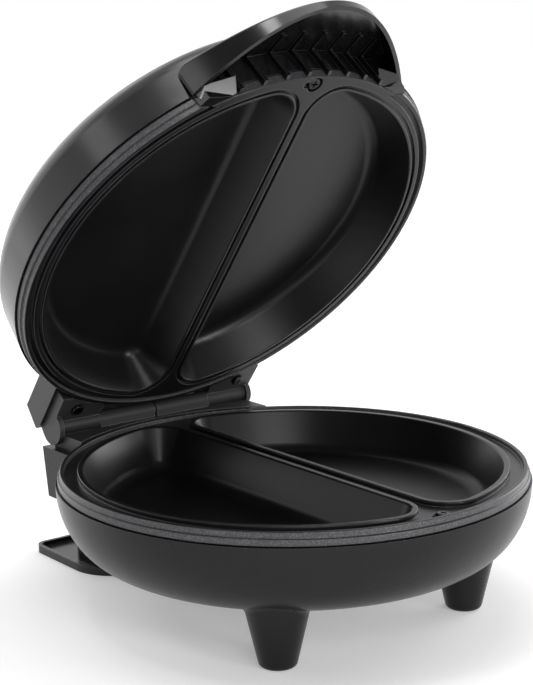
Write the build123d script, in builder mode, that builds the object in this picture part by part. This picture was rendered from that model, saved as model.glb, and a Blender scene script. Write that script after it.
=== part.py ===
from build123d import *
from math import cos, hypot, radians, sin, sqrt, tan
import os

# Electric omelette maker: a round bowl with a hinged domed lid, each holding a cast
# cooking plate with two half-moon wells. All sizes are millimetres and degrees.
# Everything is drawn about the bowl's upright axis with the lid shut, +Y to the rear.

# --- housings -------------------------------------------------------------------------
SHELL_R = 110.0             # outer radius of both housings at their edges
SHELL_WALL = 2.4            # wall of the moulded housings
PARTING_Z = 68.65           # height of the plane where the two plates meet
PLATE_GAP = 0.4             # running gap between the two plates
BAND_H = 6.35               # plate rim left showing between the parting plane and a housing
SEAM = 0.5                  # shadow gap between a plate's rim and its housing
BOWL_BOTTOM_Z = 26.3        # underside of the bowl
BOWL_HIP = 30.0             # half width of the ellipse that turns the bowl's wall under
DOME_TOP_Z = 110.0          # crown of the dome with the lid shut
DOME_CROWN = 5.0            # rise of the crown from its corner
DOME_DRAFT = 5.0            # lean of the dome's wall
DOME_CORNER_R = 14.0        # corner between the dome's wall and its crown

# --- front legs -----------------------------------------------------------------------
LEG_IN = 30.8               # leg's middle inward of the bowl's edge
LEG_TURN = 44.0             # its place round the bowl, from the front
LEG_TIP_R = 8.2             # leg radius on the table, before its rounding
LEG_TAPER = 13.0
LEG_ROUND = 2.4
LEG_FLARE = 3.0             # fillet between a leg and the bowl
LEG_FLOOR = 3.2             # thickness of a leg's closed tip
PAD_R = 4.6
PAD_T = 1.2                 # pad thickness, sunk flush in the leg's tip

# --- cooking plates -------------------------------------------------------------------
PLATE_T = 2.4               # wall of the cast plates
RIM_IN = 2.0                # rim at the parting plane, inward of the housing's edge
RIM_STEP_IN = 1.0           # wider step next to the housing
RIM_STEP_H = 2.9
RIM_ROUND = 0.45
RIM_LIP = 2.0               # width of the rim's lip
RING_DROP = 2.3             # depth of the channel inside the rim
SKIRT_FIT = 0.9             # skirt that centres a plate, inside the housing's wall
SKIRT_T = 2.3
SKIRT_H = 4.5
WELL_IN = 12.8              # half-moon well's mouth, inward of the housing's edge
WELL_X = 5.6                # its straight side, from the middle
WELL_CORNER_R = 13.0
WELL_DEPTH = 20.0
WELL_DRAFT = 23.0
WELL_FLOOR_R = 7.0
RIDGE_T = 2.6               # ridge round each well of the base plate
RIDGE_ROUND = 0.9
MOUTH_ROUND = 0.5           # mouth of the lid's wells
LID_WELL_GROW = 0.9         # the lid's wells are larger all round
GROOVE_IN = 1.2             # lip between a lid well and its groove
GROOVE_T = 1.9
GROOVE_D = 1.6
LID_FACE_IN = 6.6           # flat face of the lid plate, inward of the housing's edge
FRONT_SCREW_IN = 9.4        # where each plate's front screw and rear rest stand
PAD_H = 2.0                 # raised pad under a plate where its housing's boss meets it
PAD_SIDE_R = 5.0
SHIELD_BOSS_X = 34.0
SHIELD_BOSS_Y = 24.0
SHIELD_BOSS_R = 4.0
PLATE_TRIM_IN = 4.8         # lid plate cut back under the handle
PLATE_TRIM_GAP = 0.3

# --- fasteners ------------------------------------------------------------------------
SCREW_R = 1.5
SCREW_FIT = 0.05            # radial clearance of a screw in its hole
HEAD_R = 3.1
HEAD_H = 1.9
BASE_SEAT_D = 0.95          # depth of the seat of the base plate's screw
LID_SEAT_D = 2.2
CROSS_L = 3.6               # cross recess, end to end
CROSS_W = 0.8
CROSS_D = 0.9
PLATE_SCREW_L = 12.0
SHORT_SCREW_L = 6.4
HOLE_FLOOR = 0.5            # left beyond a blind hole
BOSS_R = 3.2
COUNTERBORE_R = 4.0
NOTCH_R = 1.7               # notch beside the seat of each plate's screw
NOTCH_OUT = 4.4
NOTCH_D = 1.5

# --- handle ---------------------------------------------------------------------------
HOOD_ROOT_IN = 18.0         # chord where the hood leaves the dome, behind its front
HOOD_REACH = 28.5           # front of the hood, ahead of the dome's
HOOD_TIP_TOP_Z = 79.8       # top of the hood at its front
HOOD_SLOPE = 15.0
HOOD_WALL = 2.0
HOOD_ROUND = 1.6
HOOD_CORNER_R = 4.0         # rounded top corner where the hood leaves the dome
HOOD_END_T = 4.6            # solid block at each end of the hood
HANDLE_SCREW_IN = 8.8       # screw inward of the hood's root
HANDLE_SCREW_Z = 85.5
HANDLE_TAB_W = 11.0         # tab of the dome behind each end block
HANDLE_TAB_H = 10.0
GRIP_WALL_IN = 6.1          # back wall of the finger space, inward of the housing's edge
GRIP_WALL_T = 1.6
FIN_COUNT = 10
FIN_PITCH = 11.2
FIN_T = 1.7
FIN_OUT = 2.6
ROOF_RIB = 1.6              # depth of the fins where they run on along the hood's roof
ROOF_RIB_L = 14.0
FACET_IN = 20.0             # slanted facet at each end of the wall, from the hood's root
FACET_LEAN = 44.0
FACET_TURN = 16.5
FACET_H = 6.2
FIN_LOW = 0.55              # lower ends of the fins above the parting plane

# --- hinge ----------------------------------------------------------------------------
HINGE_OUT = 7.15            # hinge axis behind the bowl's edge
HINGE_RISE = 2.72           # hinge axis above the parting plane
OPEN_ANGLE = 52.16          # lid angle at rest, from shut
PIN_R = 2.0
PIN_FIT = 0.05
PIN_COVER = 1.2             # left beyond the pin's end in each bracket of the lid
KNUCKLE_R = 4.25
KNUCKLE_GAP = 0.3
KNUCKLE_X = 33.3            # where the base's knuckles end and the lid's begin
GROOVE_W = 1.8              # groove between the base's two knuckles
KNUCKLE_GROOVE = 1.0        # its depth
RAIL_X = 57.0               # rail ahead of the knuckles, half its length
RAIL_H = 6.8
RAIL_AHEAD = 5.15           # its rear face ahead of the hinge axis
RAIL_STEP = 2.0             # lower step of the rail, out behind the hinge axis
CHEEK_T = 2.7               # cheek that closes the outer end of each bracket
LEFT_CHEEK_R = 8.5
RIGHT_CHEEK_R = 6.4
CHEEK_BACK = 2.0            # top of a cheek, short of the hinge block's rear
HOUSING_X = 62.0            # half width of the hinge housings
HOUSING_ROOT_Y = 60.0       # where they start, inside the round walls
HOUSING_DROP = 0.8          # top of the base's housing below the bowl's edge
HOUSING_OUT = 5.45          # its rear behind the hinge axis
BASE_HOUSING_H = 24.9
BASE_HOUSING_LEAN = 4.0
HINGE_SCREW_X = 20.0
HINGE_SCREW_IN = 1.25       # screws ahead of the hinge axis
LID_BLOCK_LOW = 8.75        # lid's hinge block above the parting plane, underside
LID_BLOCK_H = 14.8
LID_BLOCK_OUT = 8.75        # its rear behind the hinge axis
LID_BLOCK_LEAN = 3.7
LID_BLOCK_CUT = 6.4         # sloping rear of the block's underside
LID_BLOCK_RISE = 1.2
LID_BLOCK_ROUND = 1.5
BRACKET_T = 6.2             # bracket under the block
BRACKET_L = 21.15           # its front ahead of the hinge axis
BRACKET_GAP = 0.4           # bracket to the dome's edge
BRACKET_SCREW_X = 49.5
BRACKET_SCREW_IN = 12.55

# --- rear foot ------------------------------------------------------------------------
TRAY_X = 56.5
TRAY_L = 65.2
TRAY_OUT = 28.05            # its rear behind the hinge axis
TRAY_T = 1.6
TRAY_LIP_H = 4.0
TRAY_LIP_T = 1.8
TRAY_REAR_R = 6.0
TRAY_FRONT_R = 24.0
POST_IN = 6.5               # post's sides inward of the tray's
POST_L = 28.0
POST_OUT = 0.85             # its rear behind the hinge axis
POST_R = 7.0
POST_WALL = 2.2
POST_GAP = 0.3              # between the post's top and the rounded bowl
FOOT_SCREW_X = 41.0
FOOT_SCREW_IN = 7.15        # ahead of the hinge axis
FOOT_BOSS_H = 8.0

# --- heating and electrical pieces ----------------------------------------------------
HEATER_IN = 35.2            # heater's ring inward of the wells' mouths
HEATER_TUBE_R = 3.3
HEATER_GAP = 0.1            # tube to the plate
HEATER_ARC = 320.0
TERMINAL_R = 1.6
TERMINAL_L = 12.0
SHIELD_IN = 13.2
SHIELD_T = 0.8
SHIELD_GAP = 2.6            # heater's tube to the shield
SHIELD_RIM_H = 5.0
THERMOSTAT_X = 32.0
THERMOSTAT_R = 8.0
THERMOSTAT_H = 4.0
THERMOSTAT_CAP_R = 5.5
THERMOSTAT_CAP_H = 3.0
FUSE_R = 2.6
FUSE_L = 24.0
CLIP_T = 0.6
CLIP_L = 8.0
SOFT_EDGE = 0.6             # rounding of the small hidden pieces
BLOCK_X = 20.0              # terminal block, left of the middle
BLOCK_IN = 9.15             # ahead of the hinge axis
BLOCK_SIZE = (26.0, 10.0, 9.0)
GLAND_X = 30.0
GLAND_Z = 49.0
GLAND_R = 7.0
GLAND_NECK_R = 5.2
GLAND_BORE_R = 3.8
GLAND_FLANGE_T = 1.6
GLAND_OUT = 6.0
GLAND_IN = 3.6
LAMP_X = 11.0
LAMP_IN = 22.0              # behind the dome's front
LENS_R = 3.6
LENS_FLANGE = 1.0
LENS_FLANGE_T = 1.2
LENS_RISE = 1.2
LAMP_R = 2.6
LAMP_L = 9.0
LAMP_GAP = 0.1
WIRE_R = 1.1
WIRE_BEND_R = 4.0
WIRE_RUN = 8.0              # straight run off the heater's end
WIRE_CLEAR = 1.2            # leads to the wells' undersides
WIRE_TURN_IN = 25.15        # ahead of the hinge axis
LID_WIRE_X = 14.0
LID_WIRE_IN = 5.15          # rear ends of the lid's leads, in its hinge block
LID_WIRE_RISE = 7.6

# --- worked out from the sizes above --------------------------------------------------
RIM_R = SHELL_R - RIM_IN
RIM_STEP_R = SHELL_R - RIM_STEP_IN
SKIRT_R = SHELL_R - SHELL_WALL - SKIRT_FIT
WELL_R = SHELL_R - WELL_IN
HEATER_R = WELL_R - HEATER_IN
SHIELD_R = WELL_R - SHIELD_IN
LID_CHANNEL_R = SHELL_R - LID_FACE_IN
FRONT_SCREW_R = SHELL_R - FRONT_SCREW_IN
PLATE_TRIM_R = SHELL_R - PLATE_TRIM_IN
GRIP_WALL_R = SHELL_R - GRIP_WALL_IN
LEG_X = (SHELL_R - LEG_IN) * sin(radians(LEG_TURN))
LEG_Y = (SHELL_R - LEG_IN) * cos(radians(LEG_TURN))
HOOD_ROOT_Y = SHELL_R - HOOD_ROOT_IN
HOOD_TIP_Y = SHELL_R + HOOD_REACH
HOOD_ROOT_X = sqrt(SHELL_R**2 - HOOD_ROOT_Y**2)
HANDLE_SCREW_X = HOOD_ROOT_X - HANDLE_SCREW_IN
LAMP_Y = SHELL_R - LAMP_IN
HINGE_Y = SHELL_R + HINGE_OUT
HINGE_SCREW_Y = HINGE_Y - HINGE_SCREW_IN
BASE_HOUSING_Y = HINGE_Y + HOUSING_OUT
LID_BLOCK_Y = HINGE_Y + LID_BLOCK_OUT
BRACKET_FRONT_Y = HINGE_Y - BRACKET_L
BRACKET_SCREW_Y = HINGE_Y - BRACKET_SCREW_IN
TRAY_REAR_Y = HINGE_Y + TRAY_OUT
TRAY_FRONT_Y = TRAY_REAR_Y - TRAY_L
POST_X = TRAY_X - POST_IN
POST_REAR_Y = HINGE_Y + POST_OUT
POST_FRONT_Y = POST_REAR_Y - POST_L
FOOT_SCREW_Y = HINGE_Y - FOOT_SCREW_IN
BLOCK_Y = HINGE_Y - BLOCK_IN
WIRE_TURN_Y = HINGE_Y - WIRE_TURN_IN
CHEEK_X = RAIL_X + KNUCKLE_GAP + CHEEK_T
PIN_X = CHEEK_X - PIN_COVER
BASE_EDGE_Z = PARTING_Z - BAND_H
LID_EDGE_Z = PARTING_Z + BAND_H
HINGE_Z = PARTING_Z + HINGE_RISE
PLATE_FACE_Z = PARTING_Z - PLATE_GAP / 2
RING_Z = PLATE_FACE_Z - RING_DROP
WELL_UNDER_Z = PLATE_FACE_Z - WELL_DEPTH - PLATE_T
PLATE_UNDER_Z = RING_Z - PLATE_T
PLATE_PAD_Z = PLATE_UNDER_Z - PAD_H
STEP_LOW_Z = BASE_EDGE_Z + SEAM
HEATER_Z = WELL_UNDER_Z - HEATER_TUBE_R - HEATER_GAP
SHIELD_Z = HEATER_Z - HEATER_TUBE_R - SHIELD_GAP - SHIELD_T
HOUSING_TOP_Z = BASE_EDGE_Z - HOUSING_DROP
HOUSING_LOW_Z = HOUSING_TOP_Z - BASE_HOUSING_H
BLOCK_LOW_Z = PARTING_Z + LID_BLOCK_LOW
BLOCK_TOP_Z = BLOCK_LOW_Z + LID_BLOCK_H
FINGER_WALL_R = GRIP_WALL_R + GRIP_WALL_T
ABOVE = DOME_TOP_Z + 20     # clear of everything upwards
FAR = 2 * SHELL_R           # clear of everything sideways
CUT = 1.0                   # overrun of a cutting shape past a face

PARTING = Plane.XY.offset(PARTING_Z)
HINGE_AXIS = Axis((0, HINGE_Y, HINGE_Z), (1, 0, 0))
SIDE = Plane.YZ             # looking along +X: right is rearward, up is up
BOWL_Y = (SHELL_R - TRAY_REAR_Y) / 2    # the bowl's axis in the part's own frame

os.makedirs("parts", exist_ok=True)


def write(builder, name, on_lid=False):
    """Names a finished piece, swings it up if it is on the lid, and writes its file."""
    piece = builder.part
    if on_lid:
        piece = piece.rotate(HINGE_AXIS, -OPEN_ANGLE)
    piece = Pos(0, BOWL_Y, 0) * piece
    piece.label = name
    export_step(piece, f"parts/{name}.step")


# --- shapes that several pieces share -------------------------------------------------
def bowl_section(inset):
    """Half section of the bowl, moved in from its outer face by inset."""
    turn_x = SHELL_R - BOWL_HIP
    low = BOWL_BOTTOM_Z + inset
    with BuildSketch(Plane.XZ, mode=Mode.PRIVATE) as section:
        with BuildLine():
            EllipticalCenterArc(
                (turn_x, BASE_EDGE_Z),
                BOWL_HIP - inset,
                BASE_EDGE_Z - low,
                start_angle=270,
                arc_size=90,
            )
            Polyline((turn_x, low), (0, low), (0, BASE_EDGE_Z), (SHELL_R - inset, BASE_EDGE_Z))
        make_face()
    return section.sketch


def dome_corner(inset):
    """Radius and height where the dome's wall and crown would meet, moved in by inset."""
    height = DOME_TOP_Z - inset - DOME_CROWN
    edge_r = SHELL_R - inset / cos(radians(DOME_DRAFT))
    return edge_r - (height - LID_EDGE_Z) * tan(radians(DOME_DRAFT)), height


def dome_section(inset):
    """Half section of the dome, moved in from its outer face by inset."""
    top = DOME_TOP_Z - inset
    corner = dome_corner(inset)
    edge_r = SHELL_R - inset / cos(radians(DOME_DRAFT))
    with BuildSketch(Plane.XZ, mode=Mode.PRIVATE) as section:
        with BuildLine():
            Polyline((0, top), (0, LID_EDGE_Z), (edge_r, LID_EDGE_Z), corner)
            TangentArc((0, top), corner, tangent=(1, 0))
        make_face()
        fillet(section.vertices().sort_by(lambda v: v.X + v.Y)[-1], DOME_CORNER_R - inset)
    return section.sketch


def crown_z(radius, inset):
    """Height of the dome's crown at a radius, moved in by inset."""
    corner_r, corner_z = dome_corner(inset)
    bend_r = (corner_r**2 + DOME_CROWN**2) / (2 * DOME_CROWN)
    return corner_z + DOME_CROWN - bend_r + sqrt(bend_r**2 - radius**2)


def half_moon(side, grow):
    """Outline of one well, made larger all round by grow; side is -1 or +1."""
    with BuildSketch(mode=Mode.PRIVATE) as outline:
        Circle(WELL_R + grow)
        with Locations((side * (WELL_X - grow + FAR / 2), 0)):
            Rectangle(FAR, FAR, mode=Mode.INTERSECT)
        fillet(outline.vertices(), WELL_CORNER_R + grow)
    return outline.sketch


def well_block(side, grow, depth, floor_r):
    """Tapered block under one half moon, hanging from the base plate's face."""
    with BuildPart(mode=Mode.PRIVATE) as block:
        with BuildSketch(Plane.XY.offset(PLATE_FACE_Z)):
            add(half_moon(side, grow))
        extrude(amount=-depth, taper=WELL_DRAFT)
        fillet(block.edges().group_by(Axis.Z)[0], floor_r)
    return block.part


def ridge_block(side, grow):
    """Block for the ridge round one well, with its outer top edge rounded."""
    with BuildPart(mode=Mode.PRIVATE) as block:
        with BuildSketch(Plane.XY.offset(PLATE_UNDER_Z)):
            add(half_moon(side, grow + RIDGE_T))
        extrude(amount=PLATE_FACE_Z - PLATE_UNDER_Z)
        fillet(block.edges().group_by(Axis.Z)[-1], RIDGE_ROUND)
    return block.part


def plate_section(land_r):
    """Half section of a base plate without its wells; inside land_r its face is raised."""
    step_top = STEP_LOW_Z + RIM_STEP_H
    lip_r = RIM_R - RIM_LIP
    points = [
        (0, PLATE_UNDER_Z),
        (SKIRT_R - SKIRT_T, PLATE_UNDER_Z),
        (SKIRT_R - SKIRT_T, STEP_LOW_Z - SKIRT_H),
        (SKIRT_R, STEP_LOW_Z - SKIRT_H),
        (SKIRT_R, STEP_LOW_Z),
        (RIM_STEP_R, STEP_LOW_Z),
        (RIM_STEP_R, step_top),
        (RIM_R, step_top),
        (RIM_R, PLATE_FACE_Z),
        (lip_r, PLATE_FACE_Z),
        (lip_r, RING_Z),
    ]
    if land_r:
        points += [(land_r, RING_Z), (land_r, PLATE_FACE_Z), (0, PLATE_FACE_Z)]
    else:
        points += [(0, RING_Z)]
    with BuildSketch(Plane.XZ, mode=Mode.PRIVATE) as section:
        with BuildLine():
            Polyline(points, close=True)
        make_face()
        inner_r = (RIM_R if land_r else lip_r) - CUT
        rim_edges = section.vertices().filter_by(lambda v: v.X > inner_r and v.Y > STEP_LOW_Z + CUT)
        fillet(rim_edges, RIM_ROUND)
    return section.sketch


def casting(land_r, grow, mouth_round, seat_d):
    """One cooking plate, face up: rim, two wells, and the pads and bosses under it."""
    wall = PLATE_T / cos(radians(WELL_DRAFT))
    sides = (-1, 1)
    with BuildPart(mode=Mode.PRIVATE) as plate:
        revolve(plate_section(land_r), Axis.Z)
        with BuildSketch(Plane.XY.offset(PLATE_PAD_Z)):
            with Locations((0, -FRONT_SCREW_R), (0, FRONT_SCREW_R)):
                Circle(PAD_SIDE_R)
        extrude(amount=RING_Z - PLATE_PAD_Z)
        for side in sides:
            add(ridge_block(side, grow))
            add(well_block(side, grow + wall, WELL_DEPTH + PLATE_T, WELL_FLOOR_R + PLATE_T))
        with BuildSketch(Plane.XY.offset(WELL_UNDER_Z)):
            with GridLocations(2 * SHIELD_BOSS_X, 2 * SHIELD_BOSS_Y, 2, 2):
                Circle(SHIELD_BOSS_R)
        extrude(amount=SHIELD_Z + SHIELD_T - WELL_UNDER_Z)
        for side in sides:
            add(well_block(side, grow, WELL_DEPTH, WELL_FLOOR_R), mode=Mode.SUBTRACT)
        outlines = half_moon(-1, grow).edges() + half_moon(1, grow).edges()
        spots = [edge.center() + Vector(0, 0, PLATE_FACE_Z) for edge in outlines]
        crests = plate.edges().group_by(Axis.Z)[-1]
        mouths = crests.filter_by(lambda e: min((e.center() - spot).length for spot in spots) < CUT / 4)
        fillet(mouths, mouth_round)
        face_z = PLATE_FACE_Z if land_r else RING_Z
        with Locations((0, -FRONT_SCREW_R, face_z)):
            CounterBoreHole(SCREW_R + SCREW_FIT, COUNTERBORE_R, seat_d, depth=FAR / 10)
        with BuildSketch(Plane.XY.offset(face_z)):
            with Locations((-NOTCH_OUT, -FRONT_SCREW_R)):
                Circle(NOTCH_R)
        extrude(amount=-NOTCH_D, mode=Mode.SUBTRACT)
        with BuildSketch(Plane.XY.offset(SHIELD_Z + SHIELD_T)):
            with GridLocations(2 * SHIELD_BOSS_X, 2 * SHIELD_BOSS_Y, 2, 2):
                Circle(SCREW_R + SCREW_FIT)
        extrude(amount=SHORT_SCREW_L, mode=Mode.SUBTRACT)
    return plate.part


def hood_plan(inset):
    """Plan of the hood in front of its chord: a parabola, moved in by inset."""
    reach = HOOD_TIP_Y - HOOD_ROOT_Y
    steepness = 2 * reach / HOOD_ROOT_X
    inner_half = HOOD_ROOT_X - inset * hypot(1, steepness) / steepness
    inner_reach = reach - inset
    with BuildSketch(mode=Mode.PRIVATE) as plan:
        with BuildLine():
            Bezier(
                (-inner_half, -HOOD_ROOT_Y),
                (0, -HOOD_ROOT_Y - 2 * inner_reach),
                (inner_half, -HOOD_ROOT_Y),
            )
            Line((inner_half, -HOOD_ROOT_Y), (-inner_half, -HOOD_ROOT_Y))
        make_face()
    return plan.sketch


def roof_plane(drop):
    """The hood's sloping top, lowered by drop."""
    lean = radians(HOOD_SLOPE)
    tip = Vector(0, -HOOD_TIP_Y, HOOD_TIP_TOP_Z - drop / cos(lean))
    return Plane(tip, x_dir=(1, 0, 0), z_dir=(0, -sin(lean), cos(lean)))


def housing_side(inset):
    """Side outline of the housing behind the bowl, on its left face, moved in by inset."""
    low_y = BASE_HOUSING_Y - BASE_HOUSING_LEAN - inset
    with BuildSketch(SIDE.offset(-HOUSING_X + inset), mode=Mode.PRIVATE) as side:
        with BuildLine():
            Polyline(
                (HOUSING_ROOT_Y, HOUSING_TOP_Z - inset),
                (BASE_HOUSING_Y - inset, HOUSING_TOP_Z - inset),
                (low_y, HOUSING_LOW_Z + inset),
                (HOUSING_ROOT_Y, HOUSING_LOW_Z + inset),
                close=True,
            )
        make_face()
    return side.sketch


def block_side(inset):
    """Side outline of the hinge block behind the dome, on its left face, moved in by inset."""
    rear_y = LID_BLOCK_Y - inset
    low = BLOCK_LOW_Z + inset
    with BuildSketch(SIDE.offset(-HOUSING_X + inset), mode=Mode.PRIVATE) as side:
        with BuildLine():
            Polyline(
                (HOUSING_ROOT_Y, low),
                (rear_y - LID_BLOCK_CUT, low),
                (rear_y, low + LID_BLOCK_RISE),
                (rear_y - LID_BLOCK_LEAN, BLOCK_TOP_Z - inset),
                (HOUSING_ROOT_Y, BLOCK_TOP_Z - inset),
                close=True,
            )
        make_face()
        corner = side.vertices().filter_by(lambda v: v.X > rear_y - LID_BLOCK_LEAN and v.Y < BLOCK_TOP_Z - FOOT_BOSS_H)
        fillet(corner, LID_BLOCK_ROUND)
    return side.sketch


def screw(place, length, head_r=HEAD_R):
    """A cross-head screw: the plane is its seat, its head outward and its shank inward."""
    with BuildPart(mode=Mode.PRIVATE) as body:
        with BuildSketch():
            Circle(head_r)
        extrude(amount=HEAD_H)
        fillet(body.edges().group_by(Axis.Z)[-1], HEAD_H / 3)
        with BuildSketch():
            Circle(SCREW_R)
        extrude(amount=-length)
        with BuildSketch(Plane.XY.offset(HEAD_H)):
            Rectangle(CROSS_L, CROSS_W)
            Rectangle(CROSS_W, CROSS_L)
        extrude(amount=-CROSS_D, mode=Mode.SUBTRACT)
    return place.location * body.part


def facing(x, y, z, way):
    """A plane at a point, with its normal along way and its own X along the part's X."""
    return Plane((x, y, z), x_dir=(1, 0, 0), z_dir=way)


UP = (0, 0, 1)
DOWN = (0, 0, -1)
REARWARD = (0, 1, 0)
GLAND_Y = BASE_HOUSING_Y - BASE_HOUSING_LEAN * (HOUSING_TOP_Z - GLAND_Z) / BASE_HOUSING_H
GLAND = facing(GLAND_X, GLAND_Y, GLAND_Z, (0, BASE_HOUSING_H, -BASE_HOUSING_LEAN))

# --- grip: the hood's outline and the finger space under it, both as solids ------------
with BuildPart() as hood_outline:
    with BuildSketch():
        add(hood_plan(0))
        Circle(GRIP_WALL_R, mode=Mode.SUBTRACT)
    extrude(amount=ABOVE)
    split(bisect_by=roof_plane(0), keep=Keep.BOTTOM)
    corners = hood_outline.edges().filter_by(Axis.X)
    fillet(corners.filter_by(lambda e: e.center().Y > -HOOD_ROOT_Y - CUT).group_by(Axis.Z)[-1], HOOD_CORNER_R)

with BuildPart() as grip_hollow:
    with BuildSketch():
        add(hood_plan(HOOD_WALL))
        Circle(FINGER_WALL_R, mode=Mode.SUBTRACT)
        with Locations((0, FAR / 2 - HOOD_ROOT_Y - HOOD_END_T)):
            Rectangle(FAR, FAR, mode=Mode.SUBTRACT)
    extrude(amount=ABOVE)
    split(bisect_by=roof_plane(HOOD_WALL), keep=Keep.BOTTOM)

# --- base shell: the moulded bowl with its two legs and its hinge housing --------------
LEG_PLACES = ((-LEG_X, -LEG_Y), (LEG_X, -LEG_Y))
PLATE_BOSSES = ((0, -FRONT_SCREW_R), (0, FRONT_SCREW_R))
FOOT_SCREWS = ((-FOOT_SCREW_X, FOOT_SCREW_Y), (FOOT_SCREW_X, FOOT_SCREW_Y))
HINGE_SCREWS = ((-HINGE_SCREW_X, HINGE_SCREW_Y), (HINGE_SCREW_X, HINGE_SCREW_Y))

with BuildPart() as bowl_hollow:
    revolve(bowl_section(SHELL_WALL), Axis.Z)
    extrude(housing_side(SHELL_WALL), amount=2 * (HOUSING_X - SHELL_WALL))
    with BuildSketch(Plane.XY.offset(LEG_FLOOR)):
        with Locations(*LEG_PLACES):
            Circle(LEG_TIP_R + LEG_FLOOR * tan(radians(LEG_TAPER)) - SHELL_WALL)
    extrude(amount=BOWL_BOTTOM_Z, taper=-LEG_TAPER)
    with BuildSketch():
        with Locations(*PLATE_BOSSES):
            Circle(BOSS_R)
    extrude(amount=PLATE_PAD_Z, mode=Mode.SUBTRACT)
    with BuildSketch():
        with Locations(*FOOT_SCREWS):
            Circle(BOSS_R)
    extrude(amount=HOUSING_LOW_Z + FOOT_BOSS_H, mode=Mode.SUBTRACT)

with BuildPart() as base_shell:
    with BuildSketch():
        with Locations(*LEG_PLACES):
            Circle(LEG_TIP_R)
    extrude(amount=BOWL_BOTTOM_Z + LEG_TIP_R, taper=-LEG_TAPER)
    fillet(base_shell.edges().group_by(Axis.Z)[0], LEG_ROUND)
    revolve(bowl_section(0), Axis.Z)
    leg_roots = base_shell.edges().filter_by(
        lambda e: hypot(abs(e.center().X) - LEG_X, e.center().Y + LEG_Y) < 2 * LEG_TIP_R
        and e.center().Z > BOWL_BOTTOM_Z - LEG_FLARE
    )
    fillet(leg_roots, LEG_FLARE)
    extrude(housing_side(0), amount=2 * HOUSING_X)
    add(bowl_hollow.part, mode=Mode.SUBTRACT)
    with BuildSketch():
        with Locations(*LEG_PLACES):
            Circle(PAD_R)
    extrude(amount=PAD_T, mode=Mode.SUBTRACT)
    with BuildSketch(Plane.XY.offset(PLATE_PAD_Z)):
        with Locations(PLATE_BOSSES[0]):
            Circle(SCREW_R + SCREW_FIT)
    extrude(amount=-PLATE_SCREW_L, mode=Mode.SUBTRACT)
    with BuildSketch(Plane.XY.offset(HOUSING_LOW_Z)):
        with Locations(*FOOT_SCREWS):
            Circle(SCREW_R + SCREW_FIT)
    extrude(amount=SHORT_SCREW_L, mode=Mode.SUBTRACT)
    with BuildSketch(Plane.XY.offset(HOUSING_TOP_Z)):
        with Locations(*HINGE_SCREWS):
            Circle(SCREW_R + SCREW_FIT)
    extrude(amount=-2 * SHELL_WALL, mode=Mode.SUBTRACT)
    with BuildSketch(GLAND):
        Circle(GLAND_NECK_R + SCREW_FIT)
    extrude(amount=2 * SHELL_WALL, both=True, mode=Mode.SUBTRACT)

write(base_shell, "base_shell")

# --- pads under the two front legs ------------------------------------------------------
with BuildPart() as foot_pads:
    with BuildSketch():
        with Locations(*LEG_PLACES):
            Circle(PAD_R)
    extrude(amount=PAD_T)

write(foot_pads, "foot_pads")

# --- rear foot: a shallow tray on a hollow post; the cord winds round the post -----------
with BuildPart() as post_hollow:
    with BuildSketch():
        with Locations((0, (POST_FRONT_Y + POST_REAR_Y) / 2)):
            RectangleRounded(
                2 * (POST_X - POST_WALL),
                POST_REAR_Y - POST_FRONT_Y - 2 * POST_WALL,
                POST_R - POST_WALL,
            )
    extrude(amount=HOUSING_LOW_Z - POST_WALL)
    revolve(bowl_section(-POST_GAP - POST_WALL), Axis.Z, mode=Mode.SUBTRACT)

with BuildPart() as rear_foot:
    with BuildSketch() as tray_plan:
        with Locations((0, (TRAY_FRONT_Y + TRAY_REAR_Y) / 2)):
            Rectangle(2 * TRAY_X, TRAY_REAR_Y - TRAY_FRONT_Y)
        fillet(tray_plan.vertices().group_by(Axis.Y)[0], TRAY_FRONT_R)
        fillet(tray_plan.vertices().group_by(Axis.Y)[-1], TRAY_REAR_R)
    extrude(amount=TRAY_LIP_H)
    with BuildSketch(Plane.XY.offset(TRAY_T)):
        add(offset(tray_plan.sketch, amount=-TRAY_LIP_T, mode=Mode.PRIVATE))
    extrude(amount=TRAY_LIP_H, mode=Mode.SUBTRACT)
    with BuildSketch():
        with Locations((0, (POST_FRONT_Y + POST_REAR_Y) / 2)):
            RectangleRounded(2 * POST_X, POST_REAR_Y - POST_FRONT_Y, POST_R)
    extrude(amount=HOUSING_LOW_Z)
    revolve(bowl_section(-POST_GAP), Axis.Z, mode=Mode.SUBTRACT)
    add(post_hollow.part, mode=Mode.SUBTRACT)
    with BuildSketch(Plane.XY.offset(HOUSING_LOW_Z)):
        with Locations(*FOOT_SCREWS):
            Circle(SCREW_R + SCREW_FIT)
    extrude(amount=-2 * POST_WALL, mode=Mode.SUBTRACT)

write(rear_foot, "rear_foot")

with BuildPart() as rear_foot_screws:
    for x, y in FOOT_SCREWS:
        add(screw(facing(x, y, HOUSING_LOW_Z - POST_WALL, DOWN), SHORT_SCREW_L))

write(rear_foot_screws, "rear_foot_screws")

# --- cord gland: the bush in the housing's rear wall where the supply comes in -----------
with BuildPart() as cord_gland:
    with BuildSketch(GLAND):
        Circle(GLAND_R)
    extrude(amount=GLAND_FLANGE_T)
    with BuildSketch(GLAND):
        Circle(GLAND_NECK_R)
    extrude(amount=GLAND_OUT)
    with BuildSketch(GLAND):
        Circle(GLAND_NECK_R)
    extrude(amount=-GLAND_IN)
    with BuildSketch(GLAND):
        Circle(GLAND_BORE_R)
    extrude(amount=FAR / 10, both=True, mode=Mode.SUBTRACT)

write(cord_gland, "cord_gland")

# --- terminal block on the housing's floor, with the leads to the heater's ends ----------
BLOCK_LOW = HOUSING_LOW_Z + SHELL_WALL

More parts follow.
